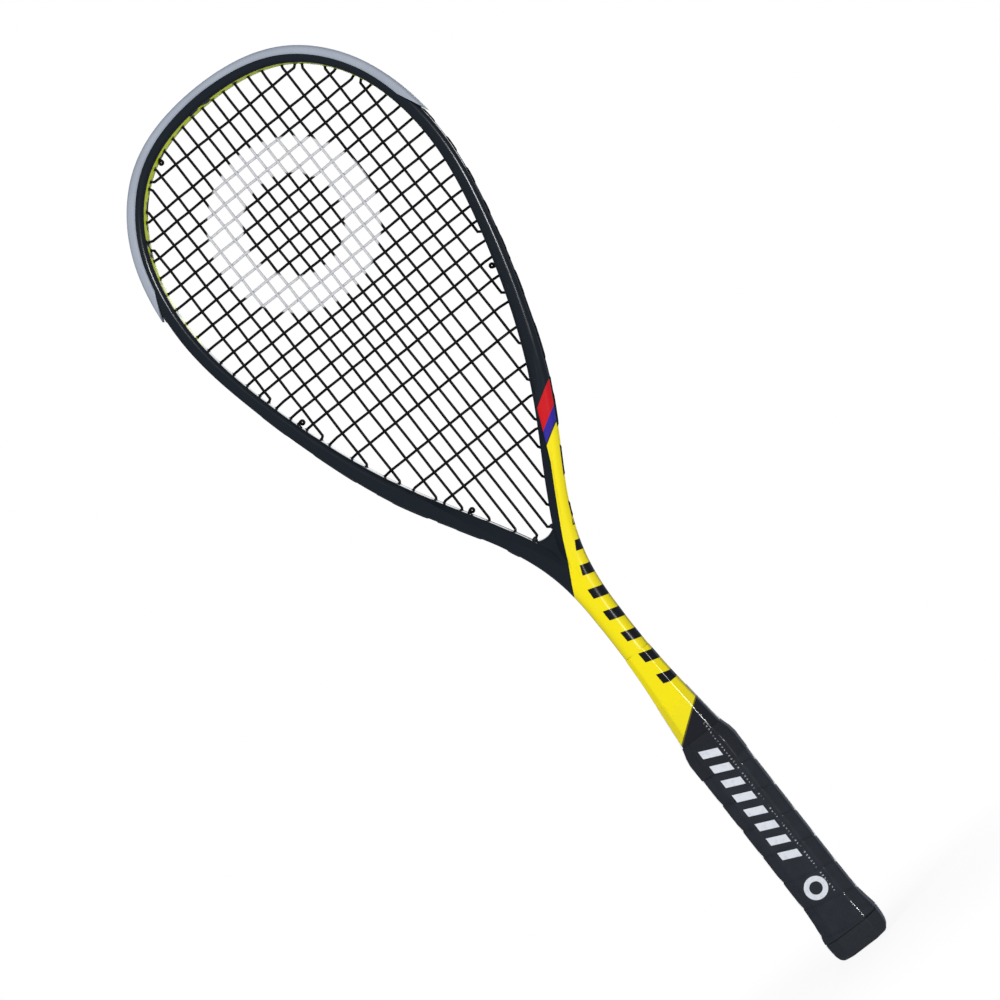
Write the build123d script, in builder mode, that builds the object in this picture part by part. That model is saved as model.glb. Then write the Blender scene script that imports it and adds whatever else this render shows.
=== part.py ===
from build123d import *
import os
from math import cos, pi, sin

# Squash racket, standing upright on its butt. Millimetres.
# Origin: centre of the butt's flat end. +Z runs up the shaft to the tip of the head,
# X runs across the string bed, and the bed lies in the XZ plane with its face towards -Y.

# ---------------------------------------------------------------- driving dimensions
# Rim centreline of the right half, from the tip of the head down to the shaft: x, z, width of the rim.
RIM_STATIONS = [
    (0, 679.75, 8.5),
    (58, 666, 8.5),
    (89.6, 630, 8.5),
    (101, 590, 8.5),
    (102.3, 562, 8.8),
    (94, 509, 9),
    (76, 448, 10.4),
    (58.3, 405, 12.3),
    (38.2, 369, 12.2),
    (22.2, 341.5, 12),
    (9, 313, 13.8),
    (1.8, 286, 16.4),
    (0, 262, 17.2),
    (0, 226, 16.9),
]
RIM_DEPTH = 20.0  # front to back
RIM_ROUNDING = 0.42  # corner radius of the rim, as a share of its width
WALL = 1.2  # thickness of the carbon shell
CHANNEL_DEPTH = 1.6  # string channel around the outside of the rim
CHANNEL_WIDTH = 7.0
THROAT_TOP = 324.5  # lowest point of the string bed's opening
THROAT_WEB_DEPTH = 15.0

SHAFT_END = 232.0  # where the painted shaft meets the handle moulding
TAIL_WIDTH = 15.8  # tail of the shaft, inside the handle
TAIL_DEPTH = 18.8
TAIL_BOTTOM = 6.0
PLUG_HEIGHT = 45.0

STRING_RADIUS = 0.66
WEAVE = 0.76  # how far a string's centre stands off the bed's plane at a crossing
LANE = 1.5  # sideways place of a string that runs along the channel
LOOP_LEVEL = -0.1  # height of that string's centre over the rim's outer face
BEND = 1.2  # radius of a string's bend out of a grommet
BEND_START = 0.4  # from a barrel's way out back to where that bend starts
MAIN_OFFSETS = [4.2, 12.7, 21.5, 31, 40, 52, 62, 73, 85]  # from the racket's axis, each side
CROSS_TOP = 657.5
CROSS_SECOND = 639.7
CROSS_PITCH = 11.0
REGULAR_CROSSES = 11
LOWER_CROSS_GAPS = [10, 12.7, 11, 12, 16.3, 16, 22, 18, 18.5]
TIE_HOLE_MAIN = 479.0  # height of the hole where each half of the main string is tied off
TIE_HOLE_CROSS_LOW = 367.5  # height of the hole where the cross string ends
TIE_HOLE_CROSS_TOP = 46.0  # sideways place of the hole where the cross string starts
KNOT_RADIUS = 1.25
KNOT_PITCH = 1.6

BARREL_RADIUS = 1.6
BARREL_BORE = 1.1
BARREL_PROUD = 0.4  # barrel beyond the rim's inner face
HOLE_RADIUS = 1.75
CORNER_REACH = 0.95  # from a barrel's mouth to the place where its string turns
CROWDED_REACH = 2.0  # the same, where a main and a cross string reach the rim side by side
CROWDED_CROSSES = (0, 2, 14, 17)
CROWDED_TOP_MAINS = (6, 8)
CROWDED_LOW_MAINS = (7, 8)
STRIP_THICKNESS = 0.7
STRIP_WIDTH = 6.4
FIRST_MAIN_RISE = 3.7  # height of the first main string's turn over the throat
FIRST_MAIN_REACH = 1.6
THROAT_MAIN_GAP = 9.7  # along the rim, from the second main string's grommet to the first's

BUMPER_THICKNESS = 2.0
BUMPER_LIP = 1.2
BUMPER_COVER = 4.5  # how far its lips reach over the rim's faces, at the sides
BUMPER_TIP_COVER = 3.0  # and at the tip of the head
BUMPER_END_OUTER = 583.0
BUMPER_END_INNER = 597.0
GROOVE_WIDTH = 4.6
GAP = 0.1  # clearance between neighbouring pieces

# Handle pieces, as stations from low to high: z and half the width of the outside.
FACET_SHARE = 0.4  # the section's corner facets, as a share of its half width
FACET_ROUNDING = 2.5
FLATNESS = 2.2  # half the depth is this much less than half the width, below the cone
MOULD_BOTTOM = 3.1
MOULD_STATIONS = [(38.2, 14.7), (70, 14.7), (110, 14.7), (150, 14.7), (160, 14.6), (167, 14.2)]
CONE_STATIONS = [  # z, half width, half depth: from the grip's size up to the shaft's
    (167, 14.2, 12.0),
    (173, 13.6, 11.8),
    (180, 12.9, 11.6),
    (193, 11.6, 11.2),
    (205, 10.4, 10.8),
    (218, 9.4, 10.4),
    (232, 8.6, 10.15),
]
CORE_HALF_WIDTH = 13.3  # end of the moulding, inside the butt cap
CAP_RIM_STATIONS = [(0, 15.2), (0.5, 16.4), (1.5, 17.4), (3.5, 18.4), (7, 19.1), (11, 19.4), (14.5, 19.5)]
CAP_SLEEVE_STATIONS = [(14, 17.4), (22, 16.4), (29, 15.4), (38, 14.8)]
GRIP_STATIONS = [
    (14.6, 19.6),
    (18, 19.3),
    (22, 18.55),
    (29, 17.5),
    (38, 16.95),
    (60, 16.9),
    (150, 16.9),
    (152, 16.7),
]
TAPE_STATIONS = [(143, 17.35), (150, 17.4), (155, 17.5), (160, 16.7), (164, 15.5), (166.5, 14.9)]
TAPE_THICKNESS = 0.3
FILM_THICKNESS = 0.2
FILM_ROOM = 0.4  # outside of the film over the outside of the cone
FILM_STATIONS = [
    (5, 19.15),
    (8, 19.6),
    (13, 19.9),
    (16, 19.9),
    (18, 19.65),
    (22, 18.9),
    (29, 17.85),
    (38, 17.3),
    (60, 17.25),
    (140, 17.25),
    (142.5, 17.7),
    (150, 17.75),
    (155, 17.85),
    (160, 17.1),
    (164, 15.9),
    (166.7, 15.25),
    (168, 14.6),
]
FILM_TOP = 197.0
STAPLE_WIRE = 0.8
STAPLE_CROWN = 9.0
STAPLE_LEG = 5.5
STAPLE_HEIGHT = 27.0  # of the staples that hold the cap's sleeve, left and right
STAPLE_FACE = 14.9  # from the middle plane to a crown's centre line


# ---------------------------------------------------------------- rim geometry
def rim_spline():
    """Centreline of the rim, from a little way round the left of the tip down to the shaft."""
    left_start = [(-x, 0, z) for x, z, width in RIM_STATIONS[3:0:-1]]
    right = [(x, 0, z) for x, z, width in RIM_STATIONS]
    with BuildLine() as line:
        Spline(*left_start, *right)
    return line.wire()


RIM = rim_spline()


def rim_distance(x, z):
    """Distance along the centreline from its start to the point (x, z)."""
    return RIM.param_at_point(Vector(x, 0, z)) * RIM.length


TIP_DISTANCE = rim_distance(0, RIM_STATIONS[0][1])
STATION_DISTANCES = [rim_distance(x, z) - TIP_DISTANCE for x, z, width in RIM_STATIONS]


def rim_width(s):
    """Width of the rim, s millimetres round from the tip."""
    s = abs(s)
    for (s_low, s_high), (low, high) in zip(
        zip(STATION_DISTANCES, STATION_DISTANCES[1:]), zip(RIM_STATIONS, RIM_STATIONS[1:])
    ):
        if s <= s_high:
            return low[2] + (high[2] - low[2]) * (s - s_low) / (s_high - s_low)
    return RIM_STATIONS[-1][2]


def rim_plane(s):
    """Plane across the rim: its x runs outward, its z runs round the rim. Left of the tip, s is negative."""
    place = (TIP_DISTANCE + abs(s)) / RIM.length
    centre = RIM @ place
    along = RIM % place
    if s < 0:
        centre = Vector(-centre.X, 0, centre.Z)
        along = Vector(along.X, 0, -along.Z)
    outward = Vector(-along.Z, 0, along.X)
    return Plane(origin=centre, x_dir=outward, z_dir=along)


def rim_spot(s, level, y=0.0):
    """Point s round from the tip, level above the rim's outer face, and y from the middle plane."""
    plane = rim_plane(s)
    return plane.origin + plane.x_dir * (rim_width(s) / 2 + level) + Vector(0, y, 0)


def solve_rim(wanted, low, high):
    """The s between low and high where wanted(s) crosses zero."""
    rising = wanted(high) > 0
    for _ in range(40):
        middle = (low + high) / 2
        if (wanted(middle) > 0) == rising:
            high = middle
        else:
            low = middle
    return (low + high) / 2


def steps(start, end, pitch):
    """Evenly spaced places from start to end, no further apart than pitch."""
    count = max(1, round(abs(end - start) / pitch + 0.49))
    return [start + (end - start) * i / count for i in range(count + 1)]


WIDEST = solve_rim(lambda s: rim_plane(s).z_dir.X, 100, 250)
RIM_END = STATION_DISTANCES[-1]


# ---------------------------------------------------------------- grommets and string layout
class Grommet:
    """One barrel through the rim: where its string turns, its mouth inside the head, and its way out."""

    def __init__(self, s, mouth=None, corner=None, reach=CORNER_REACH):
        plane = rim_plane(s)
        self.s = s
        self.axis = plane.x_dir
        self.mouth = mouth or plane.origin - self.axis * (rim_width(s) / 2 + BARREL_PROUD)
        self.exit = rim_spot(s, -CHANNEL_DEPTH + STRIP_THICKNESS)
        self.axis = (self.exit - self.mouth).normalized()
        self.corner = corner or self.mouth - self.axis * reach

    def length(self):
        return (self.exit - self.mouth).length

    def bend_start(self):
        """Where a string on its way out starts to bend."""
        return self.exit - self.axis * BEND_START


def mirrored(grommet):
    """The same barrel on the left of the racket."""
    mouth = Vector(-grommet.mouth.X, 0, grommet.mouth.Z)
    corner = Vector(-grommet.corner.X, 0, grommet.corner.Z)
    return Grommet(-grommet.s, mouth, corner)


def cross_heights():
    """Heights of the cross strings, from the tip down."""
    heights = [CROSS_TOP] + [CROSS_SECOND - CROSS_PITCH * i for i in range(REGULAR_CROSSES + 1)]
    for gap in LOWER_CROSS_GAPS:
        heights.append(heights[-1] - gap)
    return heights


def grommet_at(axis_name, place, low, high, crowded=False):
    """The barrel whose string turns at a given X or Z, found between two places along the rim."""
    reach = CROWDED_REACH if crowded else CORNER_REACH
    s = solve_rim(lambda s: getattr(Grommet(s, reach=reach).corner, axis_name) - place, low, high)
    return Grommet(s, reach=reach)


CROSS_HEIGHTS = cross_heights()
LOWEST_BARREL = solve_rim(lambda s: Grommet(s).corner.Z - 330, WIDEST, RIM_END - 60)
CROSS_GROMMETS = [
    grommet_at("Z", z, 20, LOWEST_BARREL, i in CROWDED_CROSSES) for i, z in enumerate(CROSS_HEIGHTS)
]
TOP_GROMMETS = [grommet_at("X", x, 0, WIDEST, i in CROWDED_TOP_MAINS) for i, x in enumerate(MAIN_OFFSETS)]
LOW_GROMMETS = [
    grommet_at("X", x, WIDEST, LOWEST_BARREL, i in CROWDED_LOW_MAINS) for i, x in enumerate(MAIN_OFFSETS) if i
]
FIRST_MAIN_EXIT = LOW_GROMMETS[0].s + THROAT_MAIN_GAP
FIRST_MAIN_CORNER = Vector(MAIN_OFFSETS[0], 0, THROAT_TOP + FIRST_MAIN_RISE)
FIRST_MAIN_AXIS = rim_spot(FIRST_MAIN_EXIT, -CHANNEL_DEPTH + STRIP_THICKNESS) - FIRST_MAIN_CORNER
FIRST_MAIN_MOUTH = FIRST_MAIN_CORNER + FIRST_MAIN_AXIS.normalized() * FIRST_MAIN_REACH
LOW_GROMMETS.insert(0, Grommet(FIRST_MAIN_EXIT, FIRST_MAIN_MOUTH, FIRST_MAIN_CORNER))
MAIN_TIE = grommet_at("Z", TIE_HOLE_MAIN, WIDEST, LOWEST_BARREL)
CROSS_TIE_LOW = mirrored(grommet_at("Z", TIE_HOLE_CROSS_LOW, WIDEST, LOWEST_BARREL))
CROSS_TIE_TOP = mirrored(grommet_at("X", TIE_HOLE_CROSS_TOP, 0, WIDEST))

BUMPER_END = solve_rim(lambda s: rim_spot(s, BUMPER_THICKNESS).Z - BUMPER_END_OUTER, 100, 250)
STRIP_START = BUMPER_END - 5.3
THROAT_START = (LOW_GROMMETS[3].s + CROSS_TIE_LOW.s * -1) / 2
THROAT_END = FIRST_MAIN_EXIT + 4

RIGHT_GROMMETS = TOP_GROMMETS + LOW_GROMMETS + CROSS_GROMMETS + [MAIN_TIE]
LEFT_GROMMETS = [mirrored(g) for g in RIGHT_GROMMETS] + [CROSS_TIE_LOW, CROSS_TIE_TOP]


# ---------------------------------------------------------------- lofts along the rim
def rim_bar(start, end, low, high, depth, rounding=0.0, pitch=22.0):
    """Bar along the rim, from level low to level high over its outer face, depth from front to back."""
    with BuildPart() as bar:
        for s in steps(start, end, pitch):
            base = rim_plane(s)
            bottom = low(s) if callable(low) else rim_width(s) / 2 + low
            top = rim_width(s) / 2 + high
            origin = base.origin + base.x_dir * (bottom + top) / 2
            with BuildSketch(Plane(origin=origin, x_dir=base.x_dir, z_dir=base.z_dir)):
                if rounding:
                    RectangleRounded(top - bottom, depth, rounding * min(top - bottom, depth))
                else:
                    Rectangle(top - bottom, depth)
        loft()
    return bar.part


def right_half(shape):
    """The part of a shape that lies right of the racket's axis."""
    with BuildPart() as half:
        add(shape)
        split(bisect_by=Plane.YZ, keep=Keep.TOP)
    return half.part


def barrels(grommets, radius, start, extra):
    """Round bars along the grommets, from start past each mouth to extra past each way out."""
    with BuildPart() as bars:
        for g in grommets:
            with BuildSketch(Plane(origin=g.mouth + g.axis * start, z_dir=g.axis)):
                Circle(radius)
            extrude(amount=g.length() - start + extra)
    return bars.part


# ---------------------------------------------------------------- frame
def rim_tube(grow=0.0, start=-25.0):
    """The rim's outside, from just left of the tip down to the shaft, grown by a clearance."""
    return rim_bar(start, RIM_END, lambda s: -rim_width(s) / 2 - grow, grow, RIM_DEPTH + 2 * grow, RIM_ROUNDING)


def throat_web():
    """Web that closes the bottom of the V between the arms, hollowed in a curve on top."""
    shoulder = Vector(10.5, 333)
    with BuildPart() as web:
        with BuildSketch(Plane.XZ):
            with BuildLine():
                ThreePointArc(Vector(-shoulder.X, shoulder.Y), (0, THROAT_TOP), shoulder)
                Polyline(shoulder, (6, 300), (-6, 300), Vector(-shoulder.X, shoulder.Y))
            make_face()
        extrude(amount=THROAT_WEB_DEPTH / 2, both=True)
    return web.part


def shaft_tail():
    """Narrower end of the shaft, which the handle is moulded on, with its bore."""
    lap = 14.0
    with BuildPart() as tail:
        with BuildSketch(Plane.XY.offset(TAIL_BOTTOM)):
            RectangleRounded(TAIL_WIDTH, TAIL_DEPTH, 6)
        extrude(amount=SHAFT_END + lap - TAIL_BOTTOM)
    return tail.part


def shaft_bore():
    """Hollow of the tail, open at the bottom."""
    lap = 12.0
    with BuildPart() as bore:
        with BuildSketch(Plane.XY.offset(TAIL_BOTTOM)):
            RectangleRounded(TAIL_WIDTH - 2 * WALL, TAIL_DEPTH - 2 * WALL, 5)
        extrude(amount=SHAFT_END + lap - TAIL_BOTTOM)
    return bore.part


outside = rim_tube()
hollow = rim_bar(
    -25, RIM_END, lambda s: -rim_width(s) / 2 + WALL, -CHANNEL_DEPTH - WALL, RIM_DEPTH - 2 * WALL, 0.3
)
channel = rim_bar(-25, THROAT_END, -CHANNEL_DEPTH, 3, CHANNEL_WIDTH)
with BuildPart() as shell_half:
    add(right_half(outside))
    add(right_half(throat_web()))
    add(hollow, mode=Mode.SUBTRACT)
    add(channel, mode=Mode.SUBTRACT)
    add(barrels(RIGHT_GROMMETS, HOLE_RADIUS, -5, 6), mode=Mode.SUBTRACT)
with BuildPart() as frame:
    add(right_half(shell_half.part))
    mirror(about=Plane.YZ)
    add(barrels([CROSS_TIE_LOW, CROSS_TIE_TOP], HOLE_RADIUS, -5, 6), mode=Mode.SUBTRACT)
    with BuildSketch(Plane.XY.offset(SHAFT_END)):
        Rectangle(60, 60)
    extrude(amount=-20, mode=Mode.SUBTRACT)
    add(shaft_tail())
    add(shaft_bore(), mode=Mode.SUBTRACT)


# ---------------------------------------------------------------- bumper and grommet strips
def strip(start, end, grommets):
    """Strip that lies in the rim's channel and carries barrels through the rim."""
    base = rim_bar(start, end, -CHANNEL_DEPTH + 1.5 * GAP, -CHANNEL_DEPTH + STRIP_THICKNESS, STRIP_WIDTH)
    with BuildPart() as piece:
        add(base)
        add(barrels(grommets, BARREL_RADIUS, 0, -0.2))
        add(barrels(grommets, BARREL_BORE, -2, 3), mode=Mode.SUBTRACT)
    return piece.part


def between(grommets, low, high):
    """The grommets that lie between two places along the rim, on either side."""
    return [g for g in grommets if low < abs(g.s) < high]


def lip_level(s):
    """Level of the edge of the bumper's lips, from the rim's centreline."""
    cover = BUMPER_TIP_COVER + (BUMPER_COVER - BUMPER_TIP_COVER) * min(1, abs(s) / 80)
    return rim_width(s) / 2 - cover


def bumper_right_half():
    """Right half of the bumper: a cap over the outer edge of the head, grooved for the strings."""
    over = rim_bar(-25, BUMPER_END + 12, lip_level, BUMPER_THICKNESS, RIM_DEPTH + 2 * BUMPER_LIP, 0.45)
    fill = rim_bar(-25, BUMPER_END + 14, -CHANNEL_DEPTH + GAP, 0.5, STRIP_WIDTH)
    groove = rim_bar(
        -25, BUMPER_END + 20, -CHANNEL_DEPTH + STRIP_THICKNESS, BUMPER_THICKNESS + 3, GROOVE_WIDTH
    )
    low_end = rim_spot(BUMPER_END, BUMPER_THICKNESS)
    high_end = Vector(rim_spot(BUMPER_END, -BUMPER_COVER).X, 0, BUMPER_END_INNER)
    slope = (low_end - high_end).normalized()
    below = Plane(origin=low_end, x_dir=slope, z_dir=Vector(slope.Z, 0, -slope.X))
    grommets = between(RIGHT_GROMMETS, 0, STRIP_START)
    with BuildPart() as half:
        add(over)
        add(rim_tube(GAP), mode=Mode.SUBTRACT)
        add(fill)
        with BuildSketch(below):
            Rectangle(80, 60)
        extrude(amount=60, mode=Mode.SUBTRACT)
        add(groove, mode=Mode.SUBTRACT)
        add(barrels(grommets, BARREL_RADIUS, 0, -0.2))
        add(barrels(grommets, BARREL_BORE, -2, 6), mode=Mode.SUBTRACT)
    return right_half(half.part)


with BuildPart() as bumper_guard:
    add(bumper_right_half())
    mirror(about=Plane.YZ)
    add(barrels([CROSS_TIE_TOP], BARREL_RADIUS, 0, -0.2))
    add(barrels([CROSS_TIE_TOP], BARREL_BORE, -2, 6), mode=Mode.SUBTRACT)

grommet_strip_right = strip(
    STRIP_START, THROAT_START - 0.5, between(RIGHT_GROMMETS, STRIP_START, THROAT_START)
)
grommet_strip_left = strip(
    -THROAT_START + 0.5, -STRIP_START, between(LEFT_GROMMETS, STRIP_START, THROAT_START)
)
throat_grommets_right = strip(
    THROAT_START + 0.5, THROAT_END - 1, between(RIGHT_GROMMETS, THROAT_START, THROAT_END)
)
throat_grommets_left = strip(
    -THROAT_END + 1, -THROAT_START - 0.5, between(LEFT_GROMMETS, THROAT_START, THROAT_END)
)


# ---------------------------------------------------------------- strings
def turn_points(grommet, inside, reach):
    """Points from the bed out through a grommet, where the run inside comes from the direction inside."""
    points = [grommet.corner + inside * lead for lead in (22, 10, 4.5) if reach > 1.6 * lead]
    sharp = abs(inside.dot(grommet.axis)) < cos(25 * pi / 180)
    if sharp:
        points.append(grommet.corner + inside * min(CORNER_REACH, 0.45 * reach))
    points.append(grommet.mouth + grommet.axis * 0.2)
    points.append(grommet.mouth + grommet.axis * grommet.length() * 0.55)
    points.append(grommet.bend_start())
    return points


def loop_points(start, end, lane):
    """Points along the channel from one grommet's way out to another's."""
    way = 1 if end > start else -1
    rise = [(0.3 * BEND, LOOP_LEVEL - 0.3 * BEND, 0.0), (BEND, LOOP_LEVEL, 0.15), (2.8 * BEND, LOOP_LEVEL, 1.0)]
    points = [rim_spot(start + way * along, level, share * lane) for along, level, share in rise]
    first, last = start + way * 2.8 * BEND, end - way * 2.8 * BEND
    if abs(last - first) > 6:
        points += [rim_spot(s, LOOP_LEVEL, lane) for s in steps(first, last, 8)[1:-1]]
    points += [rim_spot(end - way * along, level, share * lane) for along, level, share in reversed(rise)]
    return points


def knot_points(grommet):
    """Loop of a tied-off end, inside the head, from the barrel's mouth to the string's end."""
    across = grommet.axis.cross(Vector(0, 1, 0))
    start = grommet.mouth - grommet.axis * (KNOT_RADIUS + STRING_RADIUS + GAP)
    points = [start]
    for eighth in range(1, 9):
        angle = 2 * pi * eighth / 8
        ahead = grommet.axis * (-KNOT_RADIUS * sin(angle))
        aside = across * (KNOT_RADIUS * (1 - cos(angle)))
        points.append(start + ahead + aside + Vector(0, KNOT_PITCH * eighth / 8, 0))
    return points


def tied_end(grommet):
    """Points of a tied-off end, from the channel in to the knot."""
    barrel = [
        grommet.bend_start(),
        grommet.mouth + grommet.axis * grommet.length() * 0.55,
        grommet.mouth + grommet.axis * 0.4,
    ]
    return barrel + knot_points(grommet)


def split_loop(points):
    """A loop's points cut in two at its middle, with a hair's breadth between the halves."""
    middle = len(points) // 2
    before, after = points[middle - 1], points[middle]
    centre = (before + after) / 2
    step = (after - before).normalized() * GAP / 4
    return points[:middle] + [centre - step], [centre + step] + points[middle:]


def laced(runs, start_tie, end_tie, lane):
    """One string laced through all its runs, as a list of lengths that meet in the channel.

    Each run is (way in, crossings, way out)."""
    lengths = []
    current = list(reversed(tied_end(start_tie)))
    place = start_tie.s
    for way_in, crossings, way_out in runs:
        along = (way_out.corner - way_in.corner).normalized()
        end, start = split_loop(loop_points(place, way_in.s, lane))
        lengths.append(current + end)
        current = start
        current += reversed(turn_points(way_in, along, (crossings[0] - way_in.corner).length))
        current += crossings
        current += turn_points(way_out, along * -1, (crossings[-1] - way_out.corner).length)
        place = way_out.s
    end, start = split_loop(loop_points(place, end_tie.s, lane))
    return lengths + [current + end, start + tied_end(end_tie)]


def swept(points):
    """A round bar that follows the points, mitred at each."""
    with BuildPart() as bar:
        with BuildLine() as line:
            Polyline(*points)
        path = line.wire()
        with BuildSketch(Plane(origin=path @ 0, z_dir=path % 0)):
            Circle(STRING_RADIUS)
        sweep(path=path, transition=Transition.RIGHT)
    return bar.part.solid()


def string_length(points):
    """A length of string, swept from the end that closes soundly."""
    length = swept(points)
    if not length.is_valid:
        length = swept(points[::-1])
    return length


def string_along(lengths):
    """All the lengths of one string, each its own solid."""
    return Compound([string_length(points) for points in lengths])


def main_columns():
    """Each main string run from left to right: its offset, its low grommet and its top grommet."""
    right = list(zip(MAIN_OFFSETS, LOW_GROMMETS, TOP_GROMMETS))
    left = [(-x, mirrored(low), mirrored(top)) for x, low, top in reversed(right)]
    return left + right


def cross_rows():
    """Each cross string run from the tip down: its height, its left grommet and its right grommet."""
    return [(z, mirrored(g), g) for z, g in zip(CROSS_HEIGHTS, CROSS_GROMMETS)]


def weave_side(column, row):
    """Which side of the bed the main string passes the cross string on."""
    return 1 if (column + row) % 2 == 0 else -1


def main_runs():
    rows = cross_rows()
    runs = []
    for column, (x, low, top) in enumerate(main_columns()):
        crossings = [
            Vector(x, WEAVE * weave_side(column, row), z)
            for row, (z, left, right) in enumerate(rows)
            if abs(x) < right.corner.X and low.corner.Z < z < top.corner.Z
        ]
        if column % 2 == 0:
            runs.append((low, list(reversed(crossings)), top))
        else:
            runs.append((top, crossings, low))
    return runs


def cross_runs():
    columns = main_columns()
    runs = []
    for row, (z, left, right) in enumerate(cross_rows()):
        crossings = [
            Vector(x, -WEAVE * weave_side(column, row), z)
            for column, (x, low, top) in enumerate(columns)
            if abs(x) < right.corner.X and low.corner.Z < z < top.corner.Z
        ]
        if row % 2 == 0:
            runs.append((left, crossings, right))
        else:
            runs.append((right, list(reversed(crossings)), left))
    return runs


main_string = string_along(laced(main_runs(), mirrored(MAIN_TIE), MAIN_TIE, -LANE))
cross_string = string_along(laced(cross_runs(), CROSS_TIE_TOP, CROSS_TIE_LOW, LANE))


# ---------------------------------------------------------------- handle
def flattened(stations):
    """Stations with the half depth that goes with each half width."""
    return [(z, half_width, half_width - FLATNESS) for z, half_width in stations]


def handle_bar(stations, grow=0.0, ruled=False):
    """Bar with a faceted section, lofted through stations of (z, half width, half depth)."""
    facet_growth = 2 - 2**0.5  # a 45 degree facet's leg grows by this much of its offset
    with BuildPart() as bar:
        for z, half_width, half_depth in stations:
            with BuildSketch(Plane.XY.offset(z)) as section:
                Rectangle(2 * (half_width + grow), 2 * (half_depth + grow))
                chamfer(section.vertices(), FACET_SHARE * half_width + facet_growth * grow)
                fillet(section.vertices(), FACET_ROUNDING + grow)
        loft(ruled=ruled)
    return bar.part


def core_bar(grow=0.0):
    """End of the handle moulding that the butt cap slides over."""
    ends = [(MOULD_BOTTOM - grow, CORE_HALF_WIDTH), (MOULD_STATIONS[0][0] + 1, CORE_HALF_WIDTH)]
    return handle_bar(flattened(ends), grow)


def tail_space(grow):
    """Room taken by the tail of the shaft and its plug."""
    with BuildPart() as space:
        with BuildSketch(Plane.XY.offset(TAIL_BOTTOM - grow)):
            RectangleRounded(TAIL_WIDTH + 2 * grow, TAIL_DEPTH + 2 * grow, 6 + grow)
        extrude(amount=SHAFT_END + 5 - TAIL_BOTTOM)
    return space.part


def staple(side, grow=0.0):
    """Wire staple through the cap's sleeve into the moulding, on the left (-1) or the right (1)."""
    crown_x = side * STAPLE_FACE
    legs_end = side * (STAPLE_FACE - STAPLE_LEG)
    half = STAPLE_CROWN / 2
    with BuildPart() as wire:
        with BuildLine() as line:
            FilletPolyline(
                (legs_end, -half, STAPLE_HEIGHT),
                (crown_x, -half, STAPLE_HEIGHT),
                (crown_x, half, STAPLE_HEIGHT),
                (legs_end, half, STAPLE_HEIGHT),
                radius=STAPLE_WIRE,
            )
        start = line.wire() @ 0
        with BuildSketch(Plane(origin=start, z_dir=(side, 0, 0))):
            Circle(STAPLE_WIRE / 2 + grow)
        sweep()
    return wire.part


def staple_groove(side):
    """Groove in the cap's sleeve that a staple's crown sinks into."""
    width = STAPLE_WIRE + 2 * GAP
    with BuildPart() as groove:
        with Locations((side * (STAPLE_FACE + 2), 0, STAPLE_HEIGHT)):
            Box(4 + width, STAPLE_CROWN + width, width)
    return groove.part


with BuildPart() as shaft_plug:
    with BuildSketch(Plane.XY.offset(TAIL_BOTTOM)):
        RectangleRounded(TAIL_WIDTH - 2 * WALL - 2 * GAP, TAIL_DEPTH - 2 * WALL - 2 * GAP, 4.9)
    extrude(amount=PLUG_HEIGHT)

with BuildPart() as handle_mould:
    add(handle_bar(flattened(MOULD_STATIONS), ruled=True))
    add(handle_bar(CONE_STATIONS))
    add(core_bar())
    add(tail_space(GAP), mode=Mode.SUBTRACT)
    for side in (-1, 1):
        add(staple(side, GAP / 2), mode=Mode.SUBTRACT)

with BuildPart() as butt_cap:
    add(handle_bar(flattened(CAP_RIM_STATIONS)))
    add(handle_bar(flattened(CAP_SLEEVE_STATIONS), ruled=True))
    add(core_bar(GAP), mode=Mode.SUBTRACT)
    for side in (-1, 1):
        add(staple_groove(side), mode=Mode.SUBTRACT)
        add(staple(side, GAP / 2), mode=Mode.SUBTRACT)

butt_cap_staples = Compound([staple(-1).solid(), staple(1).solid()])

with BuildPart() as base_grip:
    add(handle_bar(flattened(GRIP_STATIONS), ruled=True))
    add(handle_bar(flattened(CAP_SLEEVE_STATIONS + MOULD_STATIONS), GAP, ruled=True), mode=Mode.SUBTRACT)

with BuildPart() as finishing_tape:
    add(handle_bar(flattened(TAPE_STATIONS), ruled=True))
    add(handle_bar(flattened(TAPE_STATIONS), -TAPE_THICKNESS, ruled=True), mode=Mode.SUBTRACT)

film_cone = [(z, width + FILM_ROOM, depth + FILM_ROOM) for z, width, depth in CONE_STATIONS]
with BuildPart() as grip_film:
    add(handle_bar(flattened(FILM_STATIONS), ruled=True))
    add(handle_bar(film_cone))
    add(handle_bar(flattened(FILM_STATIONS), -FILM_THICKNESS, ruled=True), mode=Mode.SUBTRACT)
    add(handle_bar(film_cone, -FILM_THICKNESS), mode=Mode.SUBTRACT)
    with BuildSketch(Plane.XY.offset(FILM_TOP)):
        Rectangle(60, 60)
    extrude(amount=60, mode=Mode.SUBTRACT)


# ---------------------------------------------------------------- one file to a piece
os.makedirs("parts", exist_ok=True)

frame.part.label = "frame"
export_step(frame.part, "parts/frame.step")
bumper_guard.part.label = "bumper_guard"
export_step(bumper_guard.part, "parts/bumper_guard.step")
grommet_strip_right.label = "grommet_strip_right"
export_step(grommet_strip_right, "parts/grommet_strip_right.step")
grommet_strip_left.label = "grommet_strip_left"
export_step(grommet_strip_left, "parts/grommet_strip_left.step")
throat_grommets_right.label = "throat_grommets_right"
export_step(throat_grommets_right, "parts/throat_grommets_right.step")
throat_grommets_left.label = "throat_grommets_left"
export_step(throat_grommets_left, "parts/throat_grommets_left.step")
main_string.label = "main_string"
export_step(main_string, "parts/main_string.step")
cross_string.label = "cross_string"
export_step(cross_string, "parts/cross_string.step")
shaft_plug.part.label = "shaft_plug"
export_step(shaft_plug.part, "parts/shaft_plug.step")
handle_mould.part.label = "handle_mould"
export_step(handle_mould.part, "parts/handle_mould.step")
butt_cap.part.label = "butt_cap"
export_step(butt_cap.part, "parts/butt_cap.step")
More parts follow.
